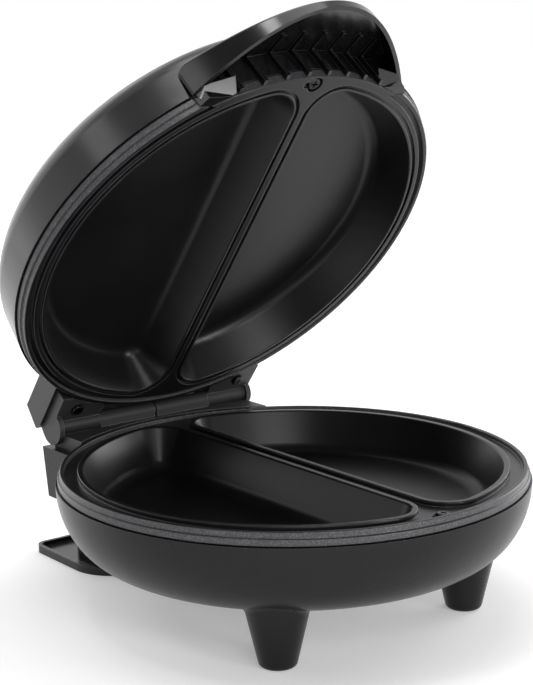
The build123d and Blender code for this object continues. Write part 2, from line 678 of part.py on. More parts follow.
with BuildPart() as terminal_block:
    with BuildSketch(Plane.XY.offset(BLOCK_LOW)):
        with Locations((-BLOCK_X, BLOCK_Y)):
            Rectangle(BLOCK_SIZE[0], BLOCK_SIZE[1])
    extrude(amount=BLOCK_SIZE[2])
    chamfer(terminal_block.edges().group_by(Axis.Z)[-1], SOFT_EDGE)
    with BuildSketch(Plane.XY.offset(BLOCK_LOW + BLOCK_SIZE[2])):
        with Locations((-BLOCK_X, BLOCK_Y)):
            with GridLocations(BLOCK_SIZE[0] / 3, 1, 3, 1):
                Circle(SCREW_R)
    extrude(amount=-BLOCK_SIZE[2] / 2, mode=Mode.SUBTRACT)

write(terminal_block, "terminal_block")

# --- cooking plate of the base ------------------------------------------------------------
with BuildPart() as base_cooking_plate:
    add(casting(0, 0, RIDGE_ROUND, BASE_SEAT_D))

write(base_cooking_plate, "base_cooking_plate")

with BuildPart() as base_plate_screw:
    add(screw(facing(0, -FRONT_SCREW_R, RING_Z - BASE_SEAT_D, UP), PLATE_SCREW_L))

write(base_plate_screw, "base_plate_screw")

# --- tubular heater under the base plate, with its two bare ends at the rear --------------
HALF_GAP = (360 - HEATER_ARC) / 2


def tube_end(angle, way):
    """Section of the heater's tube at an angle round the bowl; way is its run, +1 or -1."""
    turn = radians(angle)
    centre = (HEATER_R * cos(turn), HEATER_R * sin(turn), HEATER_Z)
    run = (-way * sin(turn), way * cos(turn), 0)
    return Plane(centre, x_dir=(cos(turn), sin(turn), 0), z_dir=run)


with BuildPart() as base_heater:
    with BuildSketch(tube_end(90 + HALF_GAP, 1)):
        Circle(HEATER_TUBE_R)
    revolve(axis=Axis.Z, revolution_arc=HEATER_ARC)
    for place in (tube_end(90 + HALF_GAP, -1), tube_end(90 - HALF_GAP, 1)):
        with BuildSketch(place):
            Circle(TERMINAL_R)
        extrude(amount=TERMINAL_L)

write(base_heater, "base_heater")

# --- leads from the heater's ends ------------------------------------------------------------
def lead(side, height, points):
    """A lead off one end of a heater at this height, bending away to the points given."""
    end = tube_end(90 - side * HALF_GAP, side)
    pin = Vector(end.origin.X, end.origin.Y, height) + end.z_dir * TERMINAL_L
    with BuildPart(mode=Mode.PRIVATE) as body:
        with BuildLine():
            run = FilletPolyline(pin, pin + end.z_dir * WIRE_RUN, *points, radius=WIRE_BEND_R)
        with BuildSketch(Plane(run @ 0, z_dir=run % 0)):
            Circle(WIRE_R)
        sweep()
    return body.part


LEAD_Z = WELL_UNDER_Z - WIRE_CLEAR - WIRE_R

with BuildPart() as base_wiring:
    for side in (-1, 1):
        x = side * BLOCK_SIZE[0] / 3 - BLOCK_X
        turn = (x, WIRE_TURN_Y, LEAD_Z)
        add(lead(side, HEATER_Z, (turn, (x, BLOCK_Y - BLOCK_SIZE[1] / 2, LEAD_Z))))

write(base_wiring, "base_wiring")

# --- heat shield under the heater ----------------------------------------------------------
with BuildPart() as base_heat_shield:
    with BuildSketch(Plane.XY.offset(SHIELD_Z)):
        Circle(SHIELD_R)
    extrude(amount=SHIELD_T + SHIELD_RIM_H)
    with BuildSketch(Plane.XY.offset(SHIELD_Z + SHIELD_T)):
        Circle(SHIELD_R - SHIELD_T)
    extrude(amount=SHIELD_RIM_H, mode=Mode.SUBTRACT)
    with BuildSketch(Plane.XY.offset(SHIELD_Z)):
        with GridLocations(2 * SHIELD_BOSS_X, 2 * SHIELD_BOSS_Y, 2, 2):
            Circle(SCREW_R + SCREW_FIT)
    extrude(amount=SHIELD_T, mode=Mode.SUBTRACT)

write(base_heat_shield, "base_heat_shield")

with BuildPart() as base_shield_screws:
    for spot in GridLocations(2 * SHIELD_BOSS_X, 2 * SHIELD_BOSS_Y, 2, 2):
        add(screw(facing(spot.position.X, spot.position.Y, SHIELD_Z, DOWN), SHORT_SCREW_L))

write(base_shield_screws, "base_shield_screws")

# --- thermostat and thermal fuse against the wells' undersides ----------------------------
with BuildPart() as thermostat:
    with BuildSketch(Plane.XY.offset(WELL_UNDER_Z)):
        with Locations((THERMOSTAT_X, 0)):
            Circle(THERMOSTAT_R)
    extrude(amount=-THERMOSTAT_H)
    with BuildSketch(Plane.XY.offset(WELL_UNDER_Z - THERMOSTAT_H)):
        with Locations((THERMOSTAT_X, 0)):
            Circle(THERMOSTAT_CAP_R)
    extrude(amount=-THERMOSTAT_CAP_H)
    fillet(thermostat.edges().group_by(Axis.Z)[0], SOFT_EDGE)

write(thermostat, "thermostat")

FUSE_Z = WELL_UNDER_Z - FUSE_R - HEATER_GAP
FUSE_PLANE = Plane((-THERMOSTAT_X, 0, FUSE_Z), x_dir=(1, 0, 0), z_dir=(0, -1, 0))

with BuildPart() as thermal_fuse:
    with BuildSketch(FUSE_PLANE):
        Circle(FUSE_R)
    extrude(amount=FUSE_L / 2, both=True)
    fillet(thermal_fuse.edges().filter_by(GeomType.CIRCLE), SOFT_EDGE)

write(thermal_fuse, "thermal_fuse")

with BuildPart() as fuse_clip:
    with BuildSketch(FUSE_PLANE):
        Circle(FUSE_R + HEATER_GAP + CLIP_T)
        with Locations((0, FUSE_R / 2 + HEATER_GAP / 2)):
            Rectangle(2 * (FUSE_R + HEATER_GAP + CLIP_T), FUSE_R + HEATER_GAP)
        with Locations((0, FUSE_R + HEATER_GAP - CLIP_T / 2)):
            Rectangle(5 * FUSE_R, CLIP_T)
        Circle(FUSE_R + HEATER_GAP, mode=Mode.SUBTRACT)
        with Locations((0, FUSE_R)):
            Rectangle(2 * (FUSE_R + HEATER_GAP), 2 * FUSE_R, mode=Mode.SUBTRACT)
    extrude(amount=CLIP_L / 2, both=True)

write(fuse_clip, "fuse_clip")

# --- hinge knuckles of the base, on the housing's top --------------------------------------
with BuildPart() as base_hinge_knuckles:
    with BuildSketch(SIDE.offset(-KNUCKLE_X)):
        with Locations((HINGE_Y, HINGE_Z)):
            Circle(KNUCKLE_R)
        with Locations((HINGE_Y, (HINGE_Z + HOUSING_TOP_Z) / 2)):
            Rectangle(2 * KNUCKLE_R, HINGE_Z - HOUSING_TOP_Z)
    extrude(amount=2 * KNUCKLE_X)
    with BuildSketch(SIDE.offset(-GROOVE_W / 2)):
        with Locations((HINGE_Y, HINGE_Z)):
            Circle(2 * KNUCKLE_R)
            Circle(KNUCKLE_R - KNUCKLE_GROOVE, mode=Mode.SUBTRACT)
    extrude(amount=GROOVE_W, mode=Mode.SUBTRACT)
    with BuildSketch(Plane.XY.offset(HOUSING_TOP_Z)):
        with Locations((0, (HOUSING_ROOT_Y + HINGE_Y - RAIL_AHEAD) / 2)):
            Rectangle(2 * RAIL_X, HINGE_Y - RAIL_AHEAD - HOUSING_ROOT_Y)
        with Locations((0, (HOUSING_ROOT_Y + HINGE_Y) / 2)):
            Rectangle(2 * KNUCKLE_X, HINGE_Y - HOUSING_ROOT_Y)
        Circle(SHELL_R, mode=Mode.SUBTRACT)
    extrude(amount=RAIL_H)
    with BuildSketch(Plane.XY.offset(HOUSING_TOP_Z)):
        with Locations((0, (HINGE_Y - RAIL_AHEAD + HINGE_Y + RAIL_STEP) / 2)):
            Rectangle(2 * RAIL_X, RAIL_AHEAD + RAIL_STEP)
    extrude(amount=HINGE_Z - KNUCKLE_R - 2 * KNUCKLE_GAP - HOUSING_TOP_Z)
    with BuildSketch(SIDE.offset(-KNUCKLE_X)):
        with Locations((HINGE_Y, HINGE_Z)):
            Circle(PIN_R + PIN_FIT)
    extrude(amount=2 * KNUCKLE_X, mode=Mode.SUBTRACT)
    with BuildSketch(Plane.XY.offset(HOUSING_TOP_Z)):
        with Locations(*HINGE_SCREWS):
            Circle(SCREW_R + SCREW_FIT)
    extrude(amount=SHORT_SCREW_L - SHELL_WALL, mode=Mode.SUBTRACT)

write(base_hinge_knuckles, "base_hinge_knuckles")

with BuildPart() as base_hinge_screws:
    for x, y in HINGE_SCREWS:
        add(screw(facing(x, y, HOUSING_TOP_Z - SHELL_WALL, DOWN), SHORT_SCREW_L))

write(base_hinge_screws, "base_hinge_screws")

# --- hinge pin ---------------------------------------------------------------------------
with BuildPart() as hinge_pin:
    with BuildSketch(SIDE.offset(-PIN_X + PIN_FIT)):
        with Locations((HINGE_Y, HINGE_Z)):
            Circle(PIN_R)
    extrude(amount=2 * (PIN_X - PIN_FIT))
    chamfer(hinge_pin.edges().filter_by(GeomType.CIRCLE), PIN_R / 4)

write(hinge_pin, "hinge_pin")

# --- lid shell: the moulded dome with its hinge block ---------------------------------------
LID_PAD_Z = 2 * PARTING_Z - PLATE_PAD_Z
BRACKET_SCREWS = ((-BRACKET_SCREW_X, BRACKET_SCREW_Y), (BRACKET_SCREW_X, BRACKET_SCREW_Y))
LENS_R_OUT = hypot(LAMP_X, LAMP_Y)
LENS_TOP_Z = crown_z(LENS_R_OUT, 0)
LENS_INNER_Z = crown_z(LENS_R_OUT + LENS_R + LENS_FLANGE, SHELL_WALL)

with BuildPart() as dome_hollow:
    revolve(dome_section(SHELL_WALL), Axis.Z)
    extrude(block_side(SHELL_WALL), amount=2 * (HOUSING_X - SHELL_WALL))
    with BuildSketch(Plane.XY.offset(LID_PAD_Z)):
        with Locations(*PLATE_BOSSES):
            Circle(BOSS_R)
    extrude(amount=ABOVE, mode=Mode.SUBTRACT)
    with BuildSketch(Plane.XY.offset(BLOCK_LOW_Z)):
        with Locations(*BRACKET_SCREWS):
            Circle(BOSS_R)
    extrude(amount=FOOT_BOSS_H, mode=Mode.SUBTRACT)
    with BuildSketch(Plane.XY.offset(HANDLE_SCREW_Z - HANDLE_TAB_H / 2)):
        for side in (-1, 1):
            with Locations((side * HANDLE_SCREW_X, -HOOD_ROOT_Y)):
                Rectangle(HANDLE_TAB_W, 2 * SHELL_WALL)
    extrude(amount=HANDLE_TAB_H, mode=Mode.SUBTRACT)

with BuildPart() as lid_shell:
    revolve(dome_section(0), Axis.Z)
    extrude(block_side(0), amount=2 * HOUSING_X)
    add(dome_hollow.part, mode=Mode.SUBTRACT)
    add(hood_outline.part, mode=Mode.SUBTRACT)
    with BuildSketch(Plane.XY.offset(LID_PAD_Z)):
        with Locations(PLATE_BOSSES[0]):
            Circle(SCREW_R + SCREW_FIT)
    extrude(amount=PLATE_SCREW_L, mode=Mode.SUBTRACT)
    with BuildSketch(Plane.XY.offset(BLOCK_LOW_Z)):
        with Locations(*BRACKET_SCREWS):
            Circle(SCREW_R + SCREW_FIT)
    extrude(amount=SHORT_SCREW_L, mode=Mode.SUBTRACT)
    with BuildSketch(Plane.XZ.offset(HOOD_ROOT_Y - 2 * SHELL_WALL)):
        for side in (-1, 1):
            with Locations((side * HANDLE_SCREW_X, HANDLE_SCREW_Z)):
                Circle(SCREW_R + SCREW_FIT)
    extrude(amount=2 * SHELL_WALL, mode=Mode.SUBTRACT)
    with BuildSketch(Plane.XY.offset(LENS_INNER_Z - SHELL_WALL)):
        with Locations((-LAMP_X, -LAMP_Y), (LAMP_X, -LAMP_Y)):
            Circle(LENS_R + SCREW_FIT)
    extrude(amount=ABOVE, mode=Mode.SUBTRACT)

write(lid_shell, "lid_shell", on_lid=True)

# --- power and ready lenses in the dome's crown, with their lamps ---------------------------
def lens(x):
    """A flanged lens pushed up through the dome's crown."""
    with BuildPart(mode=Mode.PRIVATE) as body:
        with BuildSketch(Plane.XY.offset(LENS_INNER_Z - LENS_FLANGE_T)):
            with Locations((x, -LAMP_Y)):
                Circle(LENS_R + LENS_FLANGE)
        extrude(amount=LENS_FLANGE_T)
        with BuildSketch(Plane.XY.offset(LENS_INNER_Z)):
            with Locations((x, -LAMP_Y)):
                Circle(LENS_R)
        extrude(amount=LENS_TOP_Z + LENS_RISE - LENS_INNER_Z)
        fillet(body.edges().group_by(Axis.Z)[-1], LENS_RISE)
    return body.part


with BuildPart() as power_lens:
    add(lens(-LAMP_X))

write(power_lens, "power_lens", on_lid=True)

with BuildPart() as ready_lens:
    add(lens(LAMP_X))

write(ready_lens, "ready_lens", on_lid=True)

with BuildPart() as indicator_lamps:
    with BuildSketch(Plane.XY.offset(LENS_INNER_Z - LENS_FLANGE_T - LAMP_GAP)):
        with Locations((-LAMP_X, -LAMP_Y), (LAMP_X, -LAMP_Y)):
            Circle(LAMP_R)
    extrude(amount=-LAMP_L)
    fillet(indicator_lamps.edges().group_by(Axis.Z)[0], LAMP_R / 2)

write(indicator_lamps, "indicator_lamps", on_lid=True)

# --- handle: sloping hood, finned wall behind the fingers, and a block at each end -----------
FIN_LOW_Z = PARTING_Z + FIN_LOW
FIN_ROOT_Y = HOOD_ROOT_Y + HOOD_WALL
WALL_LOW_Z = 2 * PARTING_Z - PLATE_UNDER_Z + PLATE_TRIM_GAP


def in_front(inner_r, outer_r, chord_y):
    """Ring between two radii about the bowl's axis, in front of a chord."""
    with BuildSketch(mode=Mode.PRIVATE) as ring:
        Circle(outer_r)
        Circle(inner_r, mode=Mode.SUBTRACT)
        with Locations((0, FAR / 2 - chord_y)):
            Rectangle(FAR, FAR, mode=Mode.SUBTRACT)
    return ring.sketch


def fin_rows():
    """Plan of all the fins, running front to rear through the handle."""
    with BuildSketch(mode=Mode.PRIVATE) as rows:
        with GridLocations(FIN_PITCH, 1, FIN_COUNT, 1):
            Rectangle(FIN_T, 2 * FAR)
    return rows.sketch


def facet_plane(side):
    """The slanted facet at one end of the wall; its normal points up and to the rear."""
    lean = radians(FACET_LEAN)
    turn = radians(FACET_TURN)
    foot = (side * (HOOD_ROOT_X - FACET_IN), -HOOD_ROOT_Y - HOOD_END_T, FIN_LOW_Z)
    out = (-side * sin(turn) * cos(lean), cos(turn) * cos(lean), sin(lean))
    return Plane(foot, x_dir=(cos(turn), side * sin(turn), 0), z_dir=out)


with BuildPart() as fins:
    with BuildSketch(Plane.XY.offset(FIN_LOW_Z)):
        add(fin_rows())
        add(in_front(FINGER_WALL_R, FINGER_WALL_R + FIN_OUT, FIN_ROOT_Y), mode=Mode.INTERSECT)
    extrude(amount=ABOVE)
    split(bisect_by=roof_plane(HOOD_WALL / 2), keep=Keep.BOTTOM)

with BuildPart() as roof_ribs:
    with BuildSketch():
        add(fin_rows())
        add(hood_plan(HOOD_WALL / 2), mode=Mode.INTERSECT)
        add(in_front(FINGER_WALL_R, FINGER_WALL_R + ROOF_RIB_L, FIN_ROOT_Y), mode=Mode.INTERSECT)
    extrude(amount=ABOVE)
    split(bisect_by=roof_plane(HOOD_WALL / 2), keep=Keep.BOTTOM)
    split(bisect_by=roof_plane(HOOD_WALL + ROOF_RIB), keep=Keep.TOP)

with BuildPart() as end_facets:
    for side in (-1, 1):
        with BuildSketch(Plane.XY.offset(FIN_LOW_Z)):
            with Locations((side * (HOOD_ROOT_X - FACET_IN / 2), -FIN_ROOT_Y - FACET_IN / 2)):
                Rectangle(FACET_IN, FACET_IN)
            add(hood_plan(HOOD_WALL / 2), mode=Mode.INTERSECT)
            Circle(FINGER_WALL_R, mode=Mode.SUBTRACT)
        extrude(amount=FACET_H)
    for side in (-1, 1):
        split(bisect_by=facet_plane(side), keep=Keep.TOP)

with BuildPart() as lid_handle:
    add(hood_outline.part)
    roof = lid_handle.faces().filter_by(lambda f: f.normal_at().Z > cos(radians(2 * HOOD_SLOPE)))
    fillet(roof.edges().sort_by(Axis.Y)[0], HOOD_ROUND)
    add(grip_hollow.part, mode=Mode.SUBTRACT)
    with BuildSketch():
        Rectangle(2 * FAR, 2 * FAR)
    extrude(amount=LID_EDGE_Z, mode=Mode.SUBTRACT)
    with BuildSketch(Plane.XY.offset(WALL_LOW_Z)):
        add(in_front(GRIP_WALL_R, FINGER_WALL_R, HOOD_ROOT_Y))
    extrude(amount=LID_EDGE_Z - WALL_LOW_Z)
    with BuildSketch(Plane.XY.offset(FIN_LOW_Z)):
        add(hood_plan(HOOD_WALL))
        Circle(FINGER_WALL_R, mode=Mode.SUBTRACT)
        with Locations((0, -HOOD_ROOT_Y - HOOD_END_T - FAR / 2)):
            Rectangle(FAR, FAR, mode=Mode.SUBTRACT)
    extrude(amount=LID_EDGE_Z - FIN_LOW_Z)
    add(fins.part)
    add(roof_ribs.part)
    add(end_facets.part)
    with BuildSketch(Plane.XZ.offset(HOOD_ROOT_Y)):
        for side in (-1, 1):
            with Locations((side * HANDLE_SCREW_X, HANDLE_SCREW_Z)):
                Circle(SCREW_R + SCREW_FIT)
    extrude(amount=HOOD_END_T - HOLE_FLOOR, mode=Mode.SUBTRACT)

write(lid_handle, "lid_handle", on_lid=True)

with BuildPart() as handle_screws:
    for side in (-1, 1):
        seat = facing(side * HANDLE_SCREW_X, SHELL_WALL - HOOD_ROOT_Y, HANDLE_SCREW_Z, REARWARD)
        add(screw(seat, SHELL_WALL + HOOD_END_T - 2 * HOLE_FLOOR))

write(handle_screws, "handle_screws", on_lid=True)

# --- cooking plate of the lid: the base's casting turned over, cut back under the handle -----
LID_FACE_Z = 2 * PARTING_Z - PLATE_FACE_Z
LID_RING_Z = 2 * PARTING_Z - RING_Z
LID_UNDER_Z = 2 * PARTING_Z - PLATE_UNDER_Z
TRIM_Y = HOOD_ROOT_Y - PLATE_TRIM_GAP

with BuildPart() as lid_cooking_plate:
    mirror(casting(LID_CHANNEL_R, LID_WELL_GROW, MOUTH_ROUND, LID_SEAT_D), about=PARTING)
    with BuildSketch(Plane.XY.offset(LID_FACE_Z)):
        add(in_front(LID_CHANNEL_R - CUT, PLATE_TRIM_R, TRIM_Y))
    extrude(amount=LID_RING_Z - LID_FACE_Z)
    with BuildSketch(Plane.XY.offset(LID_FACE_Z)):
        with Locations((0, -FRONT_SCREW_R)):
            Circle(COUNTERBORE_R)
    extrude(amount=LID_SEAT_D, mode=Mode.SUBTRACT)
    with BuildSketch(Plane.XY.offset(LID_FACE_Z)):
        with Locations((-NOTCH_OUT, -FRONT_SCREW_R)):
            Circle(NOTCH_R)
    extrude(amount=NOTCH_D, mode=Mode.SUBTRACT)
    with BuildSketch():
        add(in_front(PLATE_TRIM_R, FAR, TRIM_Y))
    extrude(amount=ABOVE, mode=Mode.SUBTRACT)
    with BuildSketch(Plane.XY.offset(LID_UNDER_Z)):
        add(in_front(GRIP_WALL_R - PLATE_TRIM_GAP, FAR, TRIM_Y))
    extrude(amount=ABOVE, mode=Mode.SUBTRACT)
    for side in (-1, 1):
        with BuildSketch(Plane.XY.offset(LID_FACE_Z)):
            add(half_moon(side, LID_WELL_GROW + GROOVE_IN + GROOVE_T))
            add(half_moon(side, LID_WELL_GROW + GROOVE_IN), mode=Mode.SUBTRACT)
        extrude(amount=GROOVE_D, mode=Mode.SUBTRACT)

write(lid_cooking_plate, "lid_cooking_plate", on_lid=True)

with BuildPart() as lid_plate_screw:
    add(screw(facing(0, -FRONT_SCREW_R, LID_FACE_Z + LID_SEAT_D, DOWN), PLATE_SCREW_L))

write(lid_plate_screw, "lid_plate_screw", on_lid=True)

# --- the lid's heater, shield and shield screws are the base's, turned over ------------------
with BuildPart() as lid_heater:
    mirror(base_heater.part, about=PARTING)

write(lid_heater, "lid_heater", on_lid=True)

with BuildPart() as lid_heat_shield:
    mirror(base_heat_shield.part, about=PARTING)

write(lid_heat_shield, "lid_heat_shield", on_lid=True)

with BuildPart() as lid_shield_screws:
    mirror(base_shield_screws.part, about=PARTING)

write(lid_shield_screws, "lid_shield_screws", on_lid=True)

with BuildPart() as lid_wiring:
    for side in (-1, 1):
        x = side * LID_WIRE_X
        turn = (x, WIRE_TURN_Y, 2 * PARTING_Z - LEAD_Z)
        end = (x, HINGE_Y - LID_WIRE_IN, BLOCK_LOW_Z + LID_WIRE_RISE)
        add(lead(side, 2 * PARTING_Z - HEATER_Z, (turn, end)))

write(lid_wiring, "lid_wiring", on_lid=True)

# --- hinge brackets of the lid: knuckle, cheek, and the ledge screwed under the hinge block --
LEDGE_Z = BLOCK_LOW_Z - BRACKET_T
BRACKET_W = CHEEK_X - KNUCKLE_X - KNUCKLE_GAP


def bracket(cheek_r):
    """The left bracket; its cheek has this radius about the hinge axis."""
    with BuildPart(mode=Mode.PRIVATE) as body:
        with BuildSketch(SIDE.offset(-CHEEK_X)):
            with Locations((HINGE_Y, HINGE_Z)):
                Circle(KNUCKLE_R)
            with Locations((HINGE_Y, (HINGE_Z + BLOCK_LOW_Z) / 2)):
                Rectangle(2 * KNUCKLE_R, BLOCK_LOW_Z - HINGE_Z)
            with Locations(((BRACKET_FRONT_Y + HINGE_Y) / 2, (LEDGE_Z + BLOCK_LOW_Z) / 2)):
                Rectangle(HINGE_Y - BRACKET_FRONT_Y, BRACKET_T)
        extrude(amount=BRACKET_W)
        with BuildSketch(SIDE.offset(-CHEEK_X)):
            with BuildLine():
                CenterArc((HINGE_Y, HINGE_Z), cheek_r, 0, 360)
                Polyline(
                    (HINGE_Y - cheek_r, BLOCK_LOW_Z),
                    (LID_BLOCK_Y - LID_BLOCK_CUT, BLOCK_LOW_Z),
                    (LID_BLOCK_Y - CHEEK_BACK, BLOCK_LOW_Z + LID_BLOCK_RISE * (1 - CHEEK_BACK / LID_BLOCK_CUT)),
                )
            make_hull()
        extrude(amount=CHEEK_T)
        extrude(block_side(0), amount=2 * HOUSING_X, mode=Mode.SUBTRACT)
        with BuildSketch():
            Circle(SHELL_R + BRACKET_GAP)
        extrude(amount=ABOVE, mode=Mode.SUBTRACT)
        with BuildSketch(SIDE.offset(-PIN_X)):
            with Locations((HINGE_Y, HINGE_Z)):
                Circle(PIN_R + PIN_FIT)
        extrude(amount=BRACKET_W, mode=Mode.SUBTRACT)
        with BuildSketch(Plane.XY.offset(LEDGE_Z)):
            with Locations(BRACKET_SCREWS[0]):
                Circle(SCREW_R + SCREW_FIT)
        extrude(amount=BRACKET_T, mode=Mode.SUBTRACT)
    return body.part


with BuildPart() as lid_hinge_left:
    add(bracket(LEFT_CHEEK_R))

write(lid_hinge_left, "lid_hinge_left", on_lid=True)

with BuildPart() as lid_hinge_right:
    mirror(bracket(RIGHT_CHEEK_R), about=Plane.YZ)

write(lid_hinge_right, "lid_hinge_right", on_lid=True)

with BuildPart() as lid_hinge_screws:
    for x, y in BRACKET_SCREWS:
        add(screw(facing(x, y, LEDGE_Z, DOWN), BRACKET_T + SHORT_SCREW_L - HOLE_FLOOR))

write(lid_hinge_screws, "lid_hinge_screws", on_lid=True)
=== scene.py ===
from math import cos, radians, sin

import bpy
from mathutils import Matrix, Vector

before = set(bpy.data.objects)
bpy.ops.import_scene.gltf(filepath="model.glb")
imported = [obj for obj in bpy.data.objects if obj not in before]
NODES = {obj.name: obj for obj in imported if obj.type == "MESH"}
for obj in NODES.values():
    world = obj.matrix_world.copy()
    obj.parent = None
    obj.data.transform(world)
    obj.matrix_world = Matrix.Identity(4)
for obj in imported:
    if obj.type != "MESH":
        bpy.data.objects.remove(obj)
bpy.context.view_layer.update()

# --- view ----------------------------------------------------------------------------------
# Seen from the front left and a little above, with a long lens and the maker filling
# the picture.
VIEW_AZIMUTH = radians(-37.714)
VIEW_ELEVATION = radians(11.591)
VIEW_ROLL = radians(-0.855)
VIEW_TARGET = Vector((-0.00498, -0.005134, 0.123226))
VIEW_DISTANCE = 0.788221
LONG_LENS = 89.67
NEAREST_SEEN = 0.01


def heading(azimuth, elevation):
    """The direction that lies so far round from the front and so far up from the table."""
    level = cos(elevation)
    return Vector((sin(azimuth) * level, -cos(azimuth) * level, sin(elevation)))


toward_viewer = heading(VIEW_AZIMUTH, VIEW_ELEVATION)
picture_right = (-toward_viewer).cross(Vector((0, 0, 1))).normalized()
picture_up = picture_right.cross(-toward_viewer)
rolled_right = picture_right * cos(VIEW_ROLL) + picture_up * sin(VIEW_ROLL)
rolled_up = picture_up * cos(VIEW_ROLL) - picture_right * sin(VIEW_ROLL)
facing = Matrix((rolled_right, rolled_up, toward_viewer)).transposed().to_4x4()

viewer = bpy.data.objects.new("viewer", bpy.data.cameras.new("viewer"))
viewer.data.lens = LONG_LENS
viewer.data.clip_start = NEAREST_SEEN
viewer.matrix_world = Matrix.Translation(VIEW_TARGET + toward_viewer * VIEW_DISTANCE) @ facing
bpy.context.scene.collection.objects.link(viewer)
bpy.context.scene.camera = viewer
bpy.context.scene.view_settings.view_transform = "Standard"


# --- base shell ----------------------------------------------------------------------------
# The bowl, its two front legs and the hinge housing are one injection moulding in black
# heat-resistant plastic, satin with a very fine spark-eroded grain.
def grower(tree):
    """A tool that adds nodes to a tree and joins up or sets their inputs."""
    def node(kind, inputs=(), **settings):
        made = tree.nodes.new("ShaderNode" + kind)
        for key, value in settings.items():
            setattr(made, key, value)
        for key, value in dict(inputs).items():
            if isinstance(value, bpy.types.NodeSocket):
                tree.links.new(value, made.inputs[key])
            else:
                made.inputs[key].default_value = value
        return made

    return node


def blank(name):
    """A material with a single shader, and the tool that adds nodes to it."""
    finish = bpy.data.materials.new(name)
    finish.use_nodes = True
    tree = finish.node_tree
    return finish, tree.nodes["Principled BSDF"], tree.links, grower(tree)


def opaque(colour, times=1.0):
    """A colour that covers fully, made so many times as light."""
    return (*[times * part for part in colour], 1)


def ranged(node, value, old=(0.0, 1.0), new=(0.0, 1.0), **settings):
    """A value moved from its old range to a new one."""
    ends = {"From Min": old[0], "From Max": old[1], "To Min": new[0], "To Max": new[1]}
    return node("MapRange", {"Value": value, **ends}, **settings).outputs["Result"]


def reckoned(node, operation, first, second):
    """What one step of arithmetic makes of two values."""
    return node("Math", {0: first, 1: second}, operation=operation).outputs["Value"]


def mottle(node, where, scale, detail, roughness=0.5):
    """A soft irregular pattern from 0 to 1, and the larger its scale the finer it is."""
    inputs = {"Vector": where, "Scale": scale, "Detail": detail, "Roughness": roughness}
    return node("TexNoise", inputs).outputs["Fac"]


SHADE_ENDS = (0.35, 0.65)


def shade_between(node, pattern, dark, light):
    """A colour that runs from dark to light as a pattern does."""
    ramp = node("ValToRGB", {"Fac": pattern})
    for stop, end, colour in zip(ramp.color_ramp.elements, SHADE_ENDS, (dark, light)):
        stop.position = end
        stop.color = opaque(colour)
    return ramp.outputs["Color"]


def laid_over(node, share, under, over):
    """One colour or direction laid over another, by a share from 0 to 1."""
    return node("MixRGB", {"Fac": share, "Color1": under, "Color2": over}).outputs["Color"]


def raised(node, pattern, depth, **more):
    """A normal that rises and falls with a pattern, as deep as is said."""
    inputs = {"Height": pattern, "Strength": 1.0, "Distance": depth, **more}
    return node("Bump", inputs).outputs["Normal"]


EDGE_TURN = (0.99, 0.86)


def rounded_edge(node, reach):
    """A normal that rounds off every sharp edge, and how far it turns there, from 0 to 1."""
    soft = node("Bevel", {"Radius": reach}, samples=4).outputs["Normal"]
    flat = node("NewGeometry").outputs["Normal"]
    alike = node("VectorMath", {0: soft, 1: flat}, operation="DOT_PRODUCT").outputs["Value"]
    return soft, ranged(node, alike, EDGE_TURN)


CROWN_REACH = (0.016, 0.012)


def level_crown(node, where, soft, edge, crown):
    """Levels a dome's small round top by its axis at rest, which doesn't turn as a lid does."""
    middle, axis = crown
    off = node("VectorMath", {0: where, 1: middle}, operation="DISTANCE").outputs["Value"]
    on_crown = ranged(node, off, CROWN_REACH)
    off_crown = reckoned(node, "SUBTRACT", 1.0, on_crown)
    levelled = laid_over(node, on_crown, soft, (*axis, 1))
    return levelled, reckoned(node, "MULTIPLY", edge, off_crown)


POLISH_ENDS = (0.3, 0.7)
# How many times lighter the painted highlight along sharp edges is.
PAINTED_EDGE_HIGHLIGHT = 8.0
EDGE_POLISH = 0.12


def polished(node, pattern, rough, edge):
    """How rough a skin is: a little uneven all over, and smoother along sharp edges."""
    uneven = ranged(node, pattern, POLISH_ENDS, rough)
    return ranged(node, edge, new=(uneven, EDGE_POLISH))


FLOW_SCALE = 14.0
SMEAR_SCALE = 46.0
PLASTIC_EDGE = 0.00035


def moulding(name, dark, light, rough, grain, depth, gleam, crown=None):
    """Moulded plastic: faint flow clouds, a fine mould grain, and sharp edges a little smoother,
    with a painted highlight.
    """
    finish, shader, links, node = blank(name)
    where = node("TexCoord").outputs["Object"]
    soft, edge = rounded_edge(node, PLASTIC_EDGE)
    if crown:
        soft, edge = level_crown(node, where, soft, edge, crown)
    clouds = mottle(node, where, FLOW_SCALE, detail=4.0)
    smears = mottle(node, where, SMEAR_SCALE, detail=5.0, roughness=0.6)
    mould = mottle(node, where, grain, detail=3.0)
    cloudy = shade_between(node, clouds, dark, light)
    # Painted highlight: sharp edges get a colour several times lighter than the plastic.
    edge_highlighted = laid_over(node, edge, cloudy, opaque(light, PAINTED_EDGE_HIGHLIGHT))
    links.new(edge_highlighted, shader.inputs["Base Color"])
    links.new(polished(node, smears, rough, edge), shader.inputs["Roughness"])
    links.new(raised(node, mould, depth, Normal=soft), shader.inputs["Normal"])
    shader.inputs["Specular IOR Level"].default_value = gleam
    return finish


def dress(finish, *names):
    """Puts one finish on pieces that keep the shape they have."""
    for name in names:
        for place in NODES[name].material_slots:
            place.material = finish


satin_black = moulding(
    "satin_black",
    dark=(0.0065, 0.0067, 0.0073),
    light=(0.0095, 0.0098, 0.0107),
    rough=(0.26, 0.32),
    grain=1800,
    depth=1.2e-6,
    gleam=0.25,
)
dress(satin_black, "base_shell")

# --- pads and gland ------------------------------------------------------------------------
# Two soft rubber pads are pressed into the legs' tips, and a rubber bush lines the hole
# in the housing where the supply comes in.
soft_black = moulding(
    "soft_black",
    dark=(0.012, 0.012, 0.012),
    light=(0.022, 0.021, 0.02),
    rough=(0.72, 0.85),
    grain=1500,
    depth=9e-6,
    gleam=0.3,
)
dress(soft_black, "foot_pads", "cord_gland")

